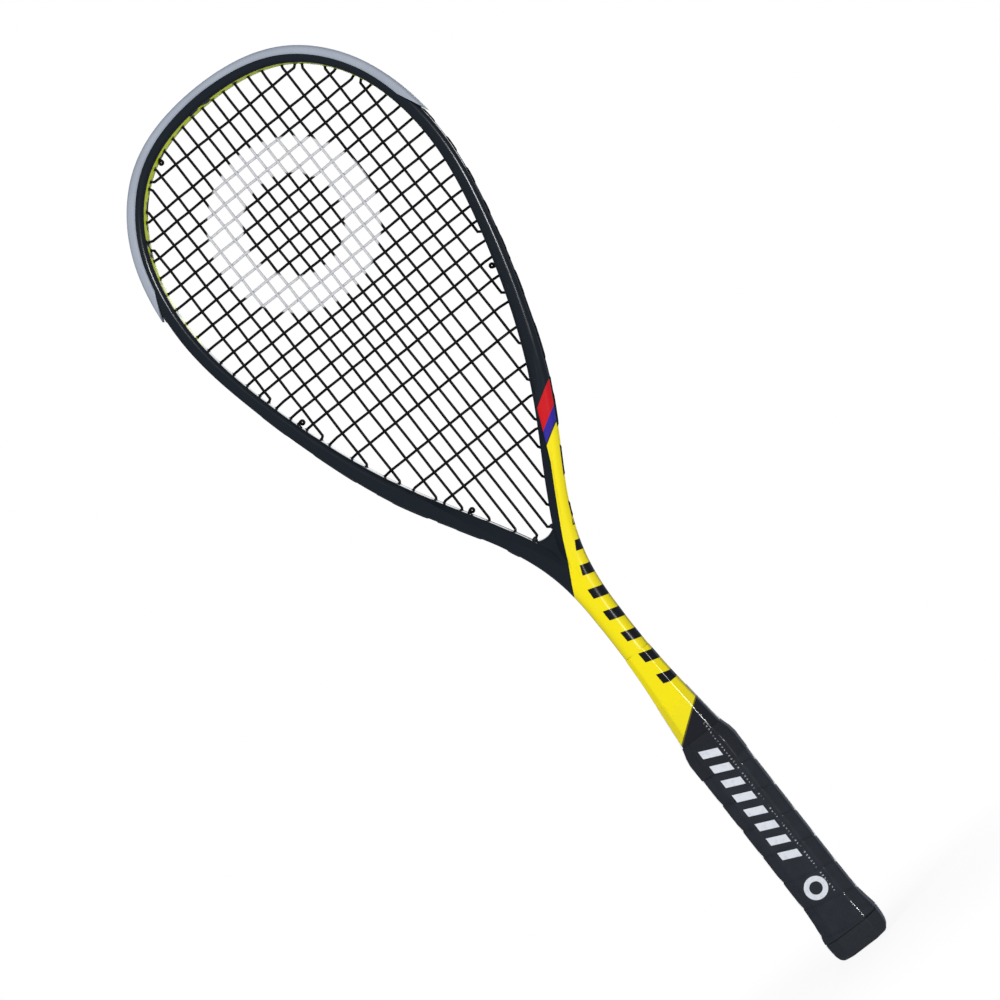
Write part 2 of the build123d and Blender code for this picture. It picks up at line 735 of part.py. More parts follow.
butt_cap_staples.label = "butt_cap_staples"
export_step(butt_cap_staples, "parts/butt_cap_staples.step")
base_grip.part.label = "base_grip"
export_step(base_grip.part, "parts/base_grip.step")
finishing_tape.part.label = "finishing_tape"
export_step(finishing_tape.part, "parts/finishing_tape.step")
grip_film.part.label = "grip_film"
export_step(grip_film.part, "parts/grip_film.step")
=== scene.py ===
from math import cos, pi, radians, sin

import bmesh
import bpy
import numpy as np
from mathutils import Matrix, Vector, noise


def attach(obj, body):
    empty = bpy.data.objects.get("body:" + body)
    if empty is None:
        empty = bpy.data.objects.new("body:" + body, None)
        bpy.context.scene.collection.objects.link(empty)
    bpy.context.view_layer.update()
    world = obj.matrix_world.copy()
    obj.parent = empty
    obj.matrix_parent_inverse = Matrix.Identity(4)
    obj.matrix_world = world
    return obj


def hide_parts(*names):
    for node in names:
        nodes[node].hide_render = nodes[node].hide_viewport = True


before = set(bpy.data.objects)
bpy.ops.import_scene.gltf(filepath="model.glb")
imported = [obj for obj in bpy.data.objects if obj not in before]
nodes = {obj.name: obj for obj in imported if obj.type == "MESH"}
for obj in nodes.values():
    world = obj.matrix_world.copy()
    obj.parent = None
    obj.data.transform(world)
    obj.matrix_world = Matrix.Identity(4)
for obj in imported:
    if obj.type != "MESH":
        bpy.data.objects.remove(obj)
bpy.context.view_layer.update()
MM = 0.001

# ---------------------------------------------------------------- the rim's centreline, in millimetres
# Right half, from the tip of the head down to the shaft: x, z, width of the rim. The same stations as the CAD.
RIM_STATIONS = [
    (0, 679.75, 8.5), (58, 666, 8.5), (89.6, 630, 8.5), (101, 590, 8.5), (102.3, 562, 8.8),
    (94, 509, 9), (76, 448, 10.4), (58.3, 405, 12.3), (38.2, 369, 12.2), (22.2, 341.5, 12),
    (9, 313, 13.8), (1.8, 286, 16.4), (0, 262, 17.2), (0, 226, 16.9),
]
HALF_DEPTH = 10.0
SHAFT_END = 232.0


def natural_spline(points):
    """Cubic through the points, by distance between them: a function from that distance to a point."""
    points = np.array(points, float)
    gaps = np.linalg.norm(np.diff(points, axis=0), axis=1)
    places = np.concatenate([[0], np.cumsum(gaps)])
    count = len(points)
    matrix = np.eye(count)
    right = np.zeros_like(points)
    for i in range(1, count - 1):
        before, after = gaps[i - 1], gaps[i]
        matrix[i, i - 1 : i + 2] = before, 2 * (before + after), after
        right[i] = 6 * ((points[i + 1] - points[i]) / after - (points[i] - points[i - 1]) / before)
    bend = np.linalg.solve(matrix, right)

    def at(place):
        i = int(np.clip(np.searchsorted(places, place) - 1, 0, count - 2))
        gap = gaps[i]
        a, b = (places[i + 1] - place) / gap, (place - places[i]) / gap
        curve = (a**3 - a) * bend[i] + (b**3 - b) * bend[i + 1]
        return a * points[i] + b * points[i + 1] + curve * gap**2 / 6

    return at, places


STATION_LIST = [(-x, z, w) for x, z, w in RIM_STATIONS[3:0:-1]] + RIM_STATIONS
rim_at, rim_places = natural_spline([(x, z) for x, z, w in STATION_LIST])


def rim_frame(place):
    """Centre, outward direction and width of the rim at a place along its centreline."""
    centre = rim_at(place)
    along = rim_at(place + 0.05) - rim_at(place - 0.05)
    along /= np.linalg.norm(along)
    width = np.interp(place, rim_places, [w for x, z, w in STATION_LIST])
    return centre, np.array([-along[1], along[0]]), width


def ease(low, high, value):
    """0 below low, 1 above high, smooth between."""
    t = min(1.0, max(0.0, (value - low) / (high - low)))
    return t * t * (3 - 2 * t)


# ---------------------------------------------------------------- mesh helpers
def new_object(name, mesh, replaced=()):
    piece = bpy.data.objects.new(name, mesh)
    bpy.context.scene.collection.objects.link(piece)
    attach(piece, "root")
    if replaced:
        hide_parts(*replaced)
    return piece


def grid_faces(rows, columns, closed, start=0):
    """Quads over a grid of vertices, whose columns may close on themselves."""
    faces = []
    for r in range(rows - 1):
        for c in range(columns if closed else columns - 1):
            d = (c + 1) % columns
            faces.append((start + r * columns + c, start + r * columns + d,
                          start + (r + 1) * columns + d, start + (r + 1) * columns + c))
    return faces


def smooth_sheet(name, vertices, faces):
    """A smooth mesh whose faces all look outward."""
    mesh = bpy.data.meshes.new(name)
    mesh.from_pydata(vertices, [], faces)
    work = bmesh.new()
    work.from_mesh(mesh)
    bmesh.ops.recalc_face_normals(work, faces=work.faces)
    for face in work.faces:
        face.smooth = True
    work.to_mesh(mesh)
    work.free()
    return mesh


# ---------------------------------------------------------------- frame skin
SWELL = 0.15  # how much the shaft's foot grows to meet the handle moulding's cone
CORNER_SHARE = 0.42  # corner radius over the rim's width
CHANNEL_DEPTH = 1.6  # string channel in the outer side
ARM_CROWN = 0.9  # how far an arm's face falls towards its outer edge
BEVEL_DROP = 3.4  # how far it falls from the ridge to the inner edge
CORNER_STEPS = 6
FLAT_SHARE = 0.75  # part of the inner corner's steps that the bevel takes up
CREASE_ANGLE = radians(24)


def bevel_width(z):
    """How far the ridge on an arm's face lies from its inner edge."""
    return np.interp(z, [300, 313, 334, 360, 385, 408], [4.4, 4.6, 5.8, 5.8, 2.4, 0.9])


def ring_profile(centre, width):
    """Half of the rim's section, from the middle of its outer side over the front to the inner side.

    Each point is (outward, forward). Also returns where the inner side starts in the list."""
    z = centre[1]
    swell = SWELL * (1 - ease(SHAFT_END, SHAFT_END + 22, z))
    width = width + 2 * swell
    half = width / 2
    deep = HALF_DEPTH + swell
    corner = CORNER_SHARE * width
    groove = CHANNEL_DEPTH * ease(316, 330, z)
    bevel = 1 - ease(392, 412, z)
    crown = ARM_CROWN * (1 - ease(395, 430, z)) * ease(285, 310, z)
    drop = BEVEL_DROP * bevel
    points = [(half - groove, 0.0), (half - groove, 1.8), (half - groove, 3.2), (half - 0.15 * groove, 3.5)]
    points += [(half, 3.9), (half, deep - corner - crown)]
    for step in range(1, CORNER_STEPS + 1):
        angle = pi / 2 * step / CORNER_STEPS
        points.append((half - corner + corner * cos(angle), deep - crown - corner + corner * sin(angle)))
    ridge = -half + max(bevel_width(z), 0.01)
    arc_start = -half + corner
    first = ridge * bevel + arc_start * (1 - bevel)
    last = half - corner
    for share in (0.3, 0.6, 0.85):
        across = last + (first - last) * share
        points.append((across, deep - crown * (1 - share) ** 1.5))
    points.append((first, deep))
    for step in range(1, CORNER_STEPS + 1):
        angle = pi / 2 * step / CORNER_STEPS
        round_point = np.array([-half + corner - corner * sin(angle), deep - corner + corner * cos(angle)])
        share = step / CORNER_STEPS
        flat_out = ridge + (-half + 0.5 - ridge) * min(1.0, share / FLAT_SHARE)
        flat_up = deep - drop * min(1.0, share / FLAT_SHARE)
        # the last two steps round the bevel off into the inner side
        if step == CORNER_STEPS - 1:
            flat_out, flat_up = -half + 0.12, deep - drop - 0.4
        if step == CORNER_STEPS:
            flat_out, flat_up = -half, deep - drop - 1.1
        points.append(tuple(np.array([flat_out, flat_up]) * bevel + round_point * (1 - bevel)))
    inner_index = len(points) - 1
    points += [(-half - 0.25, 3.0), (-half - 0.3, 0.0)]
    return points, inner_index


def build_frame():
    """The frame's skin: right half swept round the rim, cut on the middle plane and mirrored."""
    end = rim_places[-1] - (SHAFT_END - RIM_STATIONS[-1][1])
    places = list(np.arange(rim_places[3] - 6, end - 0.1, 2.5)) + [end]
    vertices, inner = [], []
    for place in places:
        centre, out, width = rim_frame(place)
        half, inner_index = ring_profile(centre, width)
        ring = [(u, -y) for u, y in half] + [(u, y) for u, y in half[-2:0:-1]]
        marks = [1.0 if i > inner_index - 2 else 0.0 for i in range(len(half))]
        marks += marks[-2:0:-1]
        for (u, y), mark in zip(ring, marks):
            vertices.append(((centre[0] + out[0] * u) * MM, y * MM, (centre[1] + out[1] * u) * MM))
            inner.append(mark)
    mesh = bpy.data.meshes.new("frame_skin")
    mesh.from_pydata(vertices, [], grid_faces(len(places), len(ring), True))
    layer = mesh.attributes.new("inner_face", "FLOAT", "POINT")
    layer.data.foreach_set("value", inner)
    work = bmesh.new()
    work.from_mesh(mesh)
    bmesh.ops.bisect_plane(work, geom=work.verts[:] + work.edges[:] + work.faces[:], dist=1e-7,
                           plane_co=(0, 0, 0), plane_no=(-1, 0, 0), clear_outer=True)
    copied = bmesh.ops.duplicate(work, geom=work.verts[:] + work.edges[:] + work.faces[:])["geom"]
    bmesh.ops.scale(work, vec=(-1, 1, 1), verts=[item for item in copied if isinstance(item, bmesh.types.BMVert)])
    bmesh.ops.reverse_faces(work, faces=[item for item in copied if isinstance(item, bmesh.types.BMFace)])
    bmesh.ops.remove_doubles(work, verts=work.verts, dist=2e-6)
    bmesh.ops.recalc_face_normals(work, faces=work.faces)
    for edge in work.edges:
        if len(edge.link_faces) == 2 and edge.calc_face_angle() > CREASE_ANGLE:
            edge.smooth = False
    for face in work.faces:
        face.smooth = True
    work.to_mesh(mesh)
    work.free()
    return mesh


WEB_TOP = 324.7
WEB_FOOT = 292
WEB_LIP = 5.6  # half its thickness under the rounded top
WEB_ROUND = 3.2  # height of the rounded top
ROUND_SHARE = 0.45  # part of each side's rows that the rounded top takes up


def build_web():
    """Web that closes the throat's V, dished in front and behind and rounded over its top."""
    columns, rows = 31, 41
    vertices = []
    for r in range(rows):
        t = 2 * r / (rows - 1) - 1
        side = -1 if t < 0 else 1
        fall = abs(t)
        reach = 11 - 8 * ease(ROUND_SHARE, 1.0, fall)
        for c in range(columns):
            x = (2 * c / (columns - 1) - 1) * reach
            top = WEB_TOP + (x / 10.5) ** 2 * 3 + (x / 10.5) ** 4 * 5.3
            lip = WEB_LIP + 1.1 * (x / 11) ** 2
            if fall < ROUND_SHARE:
                angle = pi / 2 * fall / ROUND_SHARE
                z, y = top - WEB_ROUND * (1 - cos(angle)), lip * sin(angle)
            else:
                down = (fall - ROUND_SHARE) / (1 - ROUND_SHARE)
                z = top - WEB_ROUND - (top - WEB_ROUND - WEB_FOOT) * down
                y = lip + (9.95 - lip) * ease(0, 1, (318 - z) / 22)
            vertices.append((x * MM, side * y * MM, z * MM))
    return smooth_sheet("throat_web", vertices, grid_faces(rows, columns, False))


# ---------------------------------------------------------------- material helper
class Graph:
    """A procedural material, in millimetres of the object's own space."""

    def __init__(self, name):
        self.material = bpy.data.materials.new(name)
        self.material.use_nodes = True
        self.tree = self.material.node_tree
        self.shader = self.tree.nodes["Principled BSDF"]
        coordinates = self.tree.nodes.new("ShaderNodeTexCoord").outputs["Object"]
        self.place = self.node("ShaderNodeVectorMath", coordinates, None, None, 1000.0, operation="SCALE").outputs[0]
        parts = self.node("ShaderNodeSeparateXYZ", self.place)
        self.x, self.y, self.z = parts.outputs

    def node(self, kind, *inputs, **settings):
        made = self.tree.nodes.new(kind)
        for key, value in settings.items():
            setattr(made, key, value)
        for socket, value in zip(made.inputs, inputs):
            self.feed(socket, value)
        return made

    def feed(self, socket, value):
        if value is None:
            return
        if isinstance(value, bpy.types.NodeSocket):
            self.tree.links.new(value, socket)
        else:
            socket.default_value = value

    def math(self, operation, a, b=0.0, c=0.0):
        return self.node("ShaderNodeMath", a, b, c, operation=operation).outputs[0]

    def above(self, value, edge, soft=0.12):
        """1 where value is over the edge, with a narrow soft border."""
        shifted = self.math("SUBTRACT", value, edge)
        return self.node("ShaderNodeMapRange", shifted, -soft, soft, 0.0, 1.0).outputs[0]

    def below(self, value, edge, soft=0.12):
        return self.math("SUBTRACT", 1.0, self.above(value, edge, soft))

    def length(self, a, b):
        return self.math("SQRT", self.math("ADD", self.math("POWER", a, 2.0), self.math("POWER", b, 2.0)))

    def both(self, *masks):
        """1 where all the masks are 1."""
        product = masks[0]
        for mask in masks[1:]:
            product = self.math("MULTIPLY", product, mask)
        return product

    def between(self, value, low, high, soft=0.12):
        return self.both(self.above(value, low, soft), self.below(value, high, soft))

    def mix(self, mask, first, second):
        made = self.tree.nodes.new("ShaderNodeMix")
        made.data_type = "RGBA"
        self.feed(made.inputs[0], mask)
        self.feed(made.inputs[6], first)
        self.feed(made.inputs[7], second)
        return made.outputs[2]

    def noise(self, scale, detail=3.0, place=None, roughness=0.55):
        """Noise whose scale is in features to the millimetre."""
        made = self.tree.nodes.new("ShaderNodeTexNoise")
        self.feed(made.inputs["Vector"], place or self.place)
        made.inputs["Scale"].default_value = scale
        made.inputs["Detail"].default_value = detail
        made.inputs["Roughness"].default_value = roughness
        return made.outputs["Fac"]

    def curve(self, value, points):
        """Piecewise line through (from, to) points, in millimetres."""
        start, end = min(p for p, q in points), max(p for p, q in points)
        low, high = min(q for p, q in points), max(q for p, q in points)
        share = self.node("ShaderNodeMapRange", value, start, end, 0.0, 1.0).outputs[0]
        made = self.node("ShaderNodeFloatCurve", 1.0, share)
        line = made.mapping.curves[0]
        places = [((p - start) / (end - start), (q - low) / (high - low)) for p, q in sorted(points)]
        line.points[0].location, line.points[1].location = places[0], places[-1]
        for place in places[1:-1]:
            line.points.new(*place)
        for point in line.points:
            point.handle_type = "VECTOR"
        made.mapping.update()
        return self.spread(low, high, made.outputs[0])

    def spread(self, low, high, value):
        """Carries 0 to 1 over to low to high."""
        return self.node("ShaderNodeMapRange", value, 0.0, 1.0, low, high).outputs[0]

    def bump(self, height, distance, strength=1.0):
        made = self.tree.nodes.new("ShaderNodeBump")
        made.inputs["Strength"].default_value = strength
        made.inputs["Distance"].default_value = distance * MM
        self.feed(made.inputs["Height"], height)
        self.tree.links.new(made.outputs[0], self.shader.inputs["Normal"])

    def finish(self, color, rough, **inputs):
        self.feed(self.shader.inputs["Base Color"], color)
        self.feed(self.shader.inputs["Roughness"], rough)
        for key, value in inputs.items():
            self.feed(self.shader.inputs[key.replace("_", " ")], value)
        return self.material


def rgb(red, green, blue):
    """Linear colour from 0 to 255 display values."""
    shares = (red / 255, green / 255, blue / 255)
    return tuple(c / 12.92 if c < 10.3 / 255 else ((c + 0.055) / 1.055) ** 2.4 for c in shares) + (1.0,)


def dress(piece, material):
    """Gives a CAD node or a new piece its material."""
    piece.data.materials.clear()
    piece.data.materials.append(material)


BLACK = rgb(23, 28, 34)
YELLOW = rgb(224, 208, 12)
RED = rgb(186, 14, 24)
BLUE = rgb(44, 34, 140)
# the right arm's colours from the head down, each with the height of its upper edge on the racket's middle line
STRIPES = [(363.5, RED), (353.3, BLUE), (348.0, BLACK), (347.2, YELLOW)]
STRIPE_SLANT = -0.6
DASH_PITCH = 17.0
DASH_SPAN = (3.2, 10.4)  # where a dash starts and ends in its pitch
# height and x of the dashes' left ends
DASH_START = [(200, 2.2), (262, -0.4), (283, 0.6), (303, 8.5), (324, 20.5), (345, 33.5), (366, 45.0)]


# ---------------------------------------------------------------- paint
def ridge_line():
    """Where the ridge of the right arm lies, as (z, x) from the shaft up."""
    line = [(0, -40.0), (281.9, -40.0), (282.6, -9.5), (303, 1.6)]
    for place in np.linspace(rim_places[-4] - 4, rim_places[-7] + 4, 7):
        centre, out, width = rim_frame(place)
        at = centre + out * (-width / 2 + bevel_width(centre[1]))
        if at[1] > 306:
            line.append((float(at[1]), float(at[0])))
    return sorted(line)


def paint_color(g):
    """Black lacquer with a yellow right arm and shaft, and slanted red and blue stripes above the yellow."""
    edge = g.curve(g.z, ridge_line())
    right = g.above(g.x, edge)
    slant = g.math("MULTIPLY_ADD", g.x, STRIPE_SLANT, g.z)
    color = BLACK
    for top, paint in STRIPES:
        color = g.mix(g.below(slant, top), color, paint)
    color = g.mix(right, BLACK, color)
    # a row of plain slanted dashes down the right of the yellow
    start = g.curve(g.z, DASH_START)
    wave = g.math("MODULO", g.math("MULTIPLY_ADD", g.x, 0.35, g.z), DASH_PITCH)
    dash = g.both(g.between(wave, *DASH_SPAN), g.above(g.x, start), g.between(g.z, 205.0, 352.0))
    color = g.mix(dash, color, rgb(20, 20, 22))
    # dark line and black cone under the yellow
    foot = g.math("MULTIPLY_ADD", g.x, -0.73, g.z)
    color = g.mix(g.above(foot, 178.1), rgb(24, 25, 29), color)
    return g.mix(g.between(foot, 177.8, 178.9), color, rgb(96, 90, 20))


def lacquer(name, inner):
    """Glossy paint. With inner, a yellow-green strip lines the inside of the head, broken by black gaps of painted
    shadow from the grommet barrels.
    """
    g = Graph(name)
    color = paint_color(g)
    if inner:
        mark = g.node("ShaderNodeAttribute", attribute_name="inner_face").outputs["Fac"]
        top = g.above(g.z, 556.0, 1.5)
        middle = g.below(g.math("ABSOLUTE", g.y), 5.6, 0.3)
        # the black gaps in the strip are painted shadow of the grommet barrels
        strip_between_painted_shadows = g.above(g.noise(0.11, 1.0), 0.4, 0.03)
        color = g.mix(g.both(g.above(mark, 0.5, 0.25), top, middle, strip_between_painted_shadows), color, rgb(190, 204, 40))
    speck = g.noise(1.6, 4.0)
    rough = g.spread(0.16, 0.30, g.noise(0.09, 4.0))
    g.bump(g.math("MULTIPLY_ADD", speck, 0.35, g.noise(0.25, 2.0)), 0.035, 0.5)
    return g.finish(color, rough, Coat_Weight=0.15, Coat_Roughness=0.1, Specular_IOR_Level=0.3)


def bumper_finish():
    """Grey satin plastic, dark along the string channel in its middle."""
    g = Graph("bumper_satin")
    cloud = g.noise(0.03, 3.0)
    scuff = g.noise(0.9, 6.0, roughness=0.7)
    color = g.mix(cloud, rgb(132, 138, 149), rgb(153, 160, 173))
    color = g.mix(g.node("ShaderNodeMapRange", scuff, 0.62, 0.75, 0.0, 0.25).outputs[0], color, rgb(126, 130, 144))
    channel = g.below(g.math("ABSOLUTE", g.y), 2.32, 0.05)
    color = g.mix(channel, color, rgb(46, 47, 54))
    g.bump(scuff, 0.05, 0.6)
    return g.finish(color, g.spread(0.38, 0.55, scuff), Specular_IOR_Level=0.45)


def grommet_finish():
    g = Graph("grommet_nylon")
    grain = g.noise(2.2, 4.0)
    g.bump(grain, 0.03, 0.6)
    return g.finish(g.mix(grain, rgb(34, 35, 40), rgb(50, 51, 57)), g.spread(0.4, 0.6, grain))


def string_finish():
    """Black multifilament string, with a plain ring stencilled on the bed."""
    g = Graph("string_multifilament")
    twist = g.math("ADD", g.math("ADD", g.x, g.z), g.math("MULTIPLY", g.y, 2.0))
    fibre = g.math("SINE", g.math("MULTIPLY", twist, 7.0))
    reach = g.length(g.math("ADD", g.x, 4.0), g.math("SUBTRACT", g.z, 580.0))
    wobble = g.math("MULTIPLY_ADD", g.noise(0.5, 3.0), 1.6, -0.8)
    ring = g.between(g.math("ADD", reach, wobble), 33.0, 56.0, 0.5)
    wear = g.node("ShaderNodeMapRange", g.noise(0.8, 4.0), 0.25, 0.5, 0.72, 1.0).outputs[0]
    color = g.mix(g.noise(0.6), rgb(6, 6, 8), rgb(15, 15, 18))
    color = g.mix(g.both(ring, wear), color, rgb(186, 187, 190))
    g.bump(fibre, 0.03, 0.7)
    return g.finish(color, g.spread(0.4, 0.6, g.noise(0.7)), Specular_IOR_Level=0.2)


def rubber_finish():
    g = Graph("cap_rubber")
    grain = g.noise(0.9, 4.0)
    g.bump(grain, 0.05, 0.4)
    color = g.mix(grain, rgb(28, 30, 34), rgb(40, 43, 48))
    return g.finish(color, g.spread(0.45, 0.65, grain), Specular_IOR_Level=0.15)


def foam_finish(name, dark, light):
    g = Graph(name)
    cells = g.noise(0.9, 6.0, roughness=0.7)
    g.bump(cells, 0.1, 0.7)
    return g.finish(g.mix(cells, dark, light), g.spread(0.7, 0.9, cells))


def steel_finish():
    g = Graph("staple_wire")
    streak = g.noise(1.5, 4.0)
    g.bump(streak, 0.01, 0.4)
    color = g.mix(streak, rgb(150, 150, 154), rgb(180, 180, 184))
    return g.finish(color, g.spread(0.25, 0.45, streak), Metallic=1.0)


def tape_finish():
    g = Graph("tape_vinyl")
    grain = g.noise(0.7, 5.0)
    g.bump(g.math("MULTIPLY_ADD", g.noise(0.12, 3.0), 3.0, grain), 0.08, 0.7)
    color = g.mix(grain, rgb(24, 26, 30), rgb(36, 38, 43))
    return g.finish(color, g.spread(0.3, 0.46, grain), Specular_IOR_Level=0.2)


def grip_finish():
    """Cushion grip with fine ribs across its winding."""
    g = Graph("grip_cushion")
    turn = g.node("ShaderNodeMath", g.x, g.y, operation="ARCTAN2").outputs[0]
    along = g.math("MULTIPLY_ADD", turn, 16.0, g.math("MULTIPLY", g.z, 0.19))
    rib = g.math("SINE", g.math("MULTIPLY", along, 2 * pi / 1.6))
    grain = g.noise(1.1, 4.0, roughness=0.6)
    g.bump(g.math("MULTIPLY_ADD", grain, 0.3, g.math("MULTIPLY", rib, 0.5)), 0.1, 0.6)
    color = g.mix(g.noise(0.12, 3.0), rgb(27, 30, 35), rgb(40, 44, 50))
    return g.finish(color, g.spread(0.55, 0.75, grain), Specular_IOR_Level=0.15)


def film_finish():
    """Clear glossy film with slanted bars and a ring in print on its front, and a dotted row down its right facet
    edge: painted highlight that partly stands for small print.
    """
    g = Graph("film_clear")
    front = g.above(g.math("MULTIPLY", g.y, -1.0), 5.0, 0.3)
    slant = g.math("MULTIPLY_ADD", g.x, 0.45, g.z)
    beat = g.math("MODULO", slant, 11.4)
    bars = g.both(g.between(beat, 2.6, 8.2), g.between(g.x, -7.2, 4.4), g.between(slant, 68.0, 159.8), front)
    reach = g.length(g.math("ADD", g.x, 1.4), g.math("SUBTRACT", g.z, 48.0))
    ring = g.both(g.between(reach, 4.2, 7.6), front)
    # the dotted row down the right facet edge is a painted highlight, partly standing for small print
    dot = g.between(g.math("MODULO", g.z, 2.3), 0.6, 1.5)
    speck = g.above(g.noise(0.9, 2.0), 0.5, 0.02)
    glint_and_print_dots = g.both(dot, g.between(g.x, 6.4, 7.5), g.between(g.z, 40, 172), front, speck)
    print_and_glint = g.math("MAXIMUM", g.math("MAXIMUM", bars, ring), g.both(glint_and_print_dots, 0.5))
    wear = g.node("ShaderNodeMapRange", g.noise(0.5, 4.0), 0.3, 0.5, 0.85, 1.0).outputs[0]
    print_and_glint = g.both(print_and_glint, wear)
    wrinkle = g.math("MULTIPLY_ADD", g.noise(0.25, 2.0), 0.4, g.noise(0.1, 1.0))
    g.bump(wrinkle, 0.4, 0.5)
    g.finish(rgb(200, 203, 210), 0.35)
    # only the film's outer side mirrors, so light from under it still gets out
    inward = g.node("ShaderNodeNewGeometry").outputs["Backfacing"]
    fresnel = g.both(g.node("ShaderNodeFresnel", 1.45).outputs[0], g.math("SUBTRACT", 1.0, inward))
    bump_normal = g.shader.inputs["Normal"].links[0].from_socket
    clear = g.tree.nodes.new("ShaderNodeBsdfTransparent")
    gloss = g.node("ShaderNodeBsdfGlossy", (1, 1, 1, 1), 0.13)
    g.tree.links.new(bump_normal, gloss.inputs["Normal"])
    skin = g.node("ShaderNodeMixShader", fresnel, clear.outputs[0], gloss.outputs[0])
    whole = g.node("ShaderNodeMixShader", print_and_glint, skin.outputs[0], g.shader.outputs[0])
    output = g.tree.nodes["Material Output"]
    g.tree.links.new(whole.outputs[0], output.inputs["Surface"])
    return g.material


# ---------------------------------------------------------------- handle
FACET_BEND = 2.5  # radius that rounds the octagon's corners
AROUND = 128  # points round the handle
LESS_DEEP = 2.2  # how much smaller the half depth is than the half width, at the grip


def faceted_ring(half_width, half_depth):
    """Evenly spaced points round a rounded octagon, each with its outward direction."""
    leg = 0.4 * half_width
    w, d = half_width, half_depth
    corners = [
        (w, -d + leg), (w, d - leg), (w - leg, d), (-w + leg, d),
        (-w, d - leg), (-w, -d + leg), (-w + leg, -d), (w - leg, -d),
    ]
    cut = FACET_BEND * 0.41421356  # tangent of half the corner's turn
    outline = []
    for i, corner in enumerate(corners):
        here, before, after = Vector(corner), Vector(corners[i - 1]), Vector(corners[(i + 1) % 8])
        start = here + (before - here).normalized() * cut
        end = here + (after - here).normalized() * cut
        for t in (0, 0.25, 0.5, 0.75, 1):
            outline.append(start * (1 - t) ** 2 + here * (2 * t * (1 - t)) + end * t * t)
    outline.append(outline[0])
    lengths = np.cumsum([0.0] + [(q - p).length for p, q in zip(outline, outline[1:])])
    places = np.arange(AROUND) / AROUND * lengths[-1]
    px = np.interp(places, lengths, [p.x for p in outline])
    py = np.interp(places, lengths, [p.y for p in outline])
    tx, ty = np.roll(px, -1) - np.roll(px, 1), np.roll(py, -1) - np.roll(py, 1)
    size = np.hypot(tx, ty)
    return list(zip(px, py, ty / size, -tx / size))


def build_sleeve(name, stations, offset, pitch):
    """Sleeve through (z, half width) stations. offset(turn, z) moves a point out along its own direction."""
    heights = np.arange(stations[0][0], stations[-1][0] + 0.001, pitch)
    vertices = []
    for z in heights:
        half = np.interp(z, [s[0] for s in stations], [s[1] for s in stations])
        less = np.interp(z, [170, 232], [LESS_DEEP, -1.5])
        for i, (x, y, nx, ny) in enumerate(faceted_ring(half, half - less)):
            push = offset(i / AROUND, z)
            vertices.append(((x + nx * push) * MM, (y + ny * push) * MM, z * MM))
    return smooth_sheet(name, vertices, grid_faces(len(heights), AROUND, True))


# height and half width of the grip, and of the film over it
GRIP_OUTSIDE = [
    (14.7, 18.6), (15.6, 19.25), (18, 19.0), (22, 18.25), (29, 17.2), (38, 16.6), (60, 16.5), (150, 16.5), (152, 16.1),
]
FILM_OUTSIDE = [
    (1, 17.1), (2, 17.95), (3.5, 18.6), (5, 19.05), (8, 19.5), (13, 19.75), (16, 19.75), (18, 19.5), (22, 18.75),
    (29, 17.75), (38, 17.2), (60, 17.1), (140, 17.1), (143, 17.55), (150, 17.65), (155, 17.75), (160, 17.0),
    (164, 15.85), (167, 15.05), (173, 14.0), (180, 13.3), (193, 12.0), (197, 11.6),
]
FILM_TOP = 197
WRAP_PITCH = 20.5


def wrap_phase(turn, z):
    """0 to 1 from one seam of the winding to the next."""
    return (z / WRAP_PITCH + turn + 0.35) % 1.0


def around_handle(turn, radius, z):
    """Place in a noise field that closes on itself round the handle."""
    return Vector((cos(turn * 2 * pi) * radius, sin(turn * 2 * pi) * radius, z))


def wrap_height(turn, z):
    """The grip's band overlaps the turn below: it swells slowly, then steps down at its seam."""
    phase = wrap_phase(turn, z)
    swell = 0.38 * ease(0.04, 0.3, phase)
    seam = -0.55 * (1 - ease(0.0, 0.07, phase)) - 0.5 * ease(0.97, 1.0, phase)
    crumple = 0.08 * noise.noise(around_handle(turn, 2.2, z * 0.16))
    return swell + seam + crumple


def film_height(turn, z):
    """Shrunk film: it sinks into the grip's seams, creases along the handle, and lifts a little at its top."""
    phase = wrap_phase(turn, z)
    from_seam = abs(phase - 0.01) if phase < 0.5 else 1.01 - phase
    grip = ease(20, 24, z) * (1 - ease(138, 142, z))
    sink = -0.22 * grip * max(0.0, 1 - from_seam / 0.05)
    around = around_handle(turn, 3, z * 0.035)
    creases = 0.07 * noise.noise(around * 1.4) + 0.05 * noise.noise(around * 4.1)
    edge = 1 - ease(0, 3, FILM_TOP - z)
    flutter = 0.1 * edge * noise.noise(around_handle(turn, 4, 3))
    return sink + creases + flutter


# ---------------------------------------------------------------- put together
STRING_FULLNESS = 0.22  # how much the coated strings stand over their nominal radius

dress(new_object("frame_skin", build_frame(), ["frame"]), lacquer("frame_lacquer", True))
dress(new_object("throat_web", build_web()), lacquer("web_lacquer", False))

wrap_mesh = build_sleeve("grip_wrap", GRIP_OUTSIDE, wrap_height, 0.5)
dress(new_object("grip_wrap", wrap_mesh, ["base_grip"]), grip_finish())
film_mesh = build_sleeve("handle_film", FILM_OUTSIDE, film_height, 1.0)
dress(new_object("handle_film", film_mesh, ["grip_film"]), film_finish())

